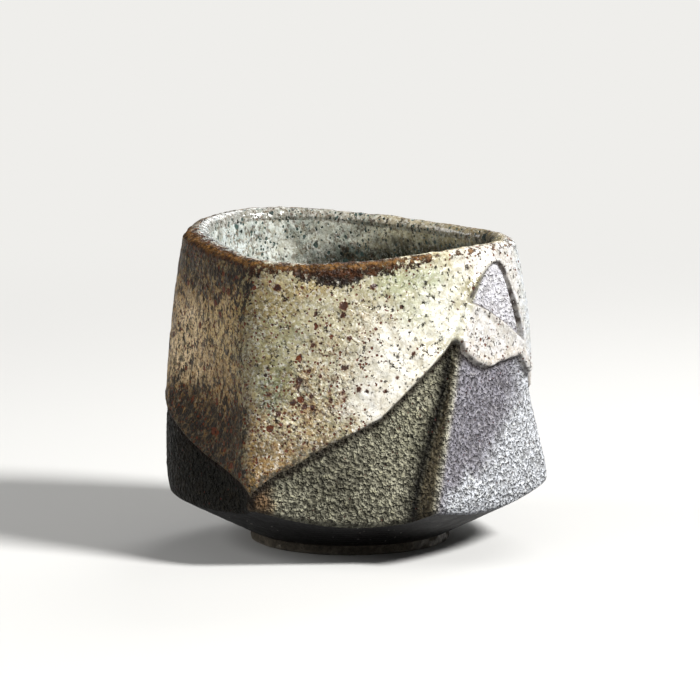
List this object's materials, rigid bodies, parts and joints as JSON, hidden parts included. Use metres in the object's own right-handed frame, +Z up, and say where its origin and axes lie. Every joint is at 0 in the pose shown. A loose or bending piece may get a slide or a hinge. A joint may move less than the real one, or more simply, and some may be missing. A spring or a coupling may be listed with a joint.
{
  "type": "sake cup",
  "caption": "Hand-carved faceted sake cup (guinomi) with a pinched oval rim, diagonal pours of speckled glaze over bare grit clay, iron-washed lip and a low turned foot ring",
  "frame": {"origin": "on the table, in the middle of the cup's bounding box seen from above", "axes": "+X to the pinched corner of the rim, -Y to the main glazed face, +Z up"},
  "size_m": [0.0704, 0.066, 0.0579],
  "materials": {
    "clay": "matt sandy grit stoneware",
    "foot_clay": "matt turned stoneware",
    "outer_glaze": "glossy cream glaze with iron specks",
    "side_glaze": "glossy white glaze",
    "inner_glaze": "glossy pale celadon glaze",
    "rim_wash": "satin iron brown wash"
  },
  "bodies": {
    "root": {"clay_body": "clay", "foot_ring": "foot_clay", "outer_glaze": "outer_glaze", "side_glaze": "side_glaze", "inner_glaze": "inner_glaze", "rim_wash": "rim_wash"}
  },
  "joints": []
}
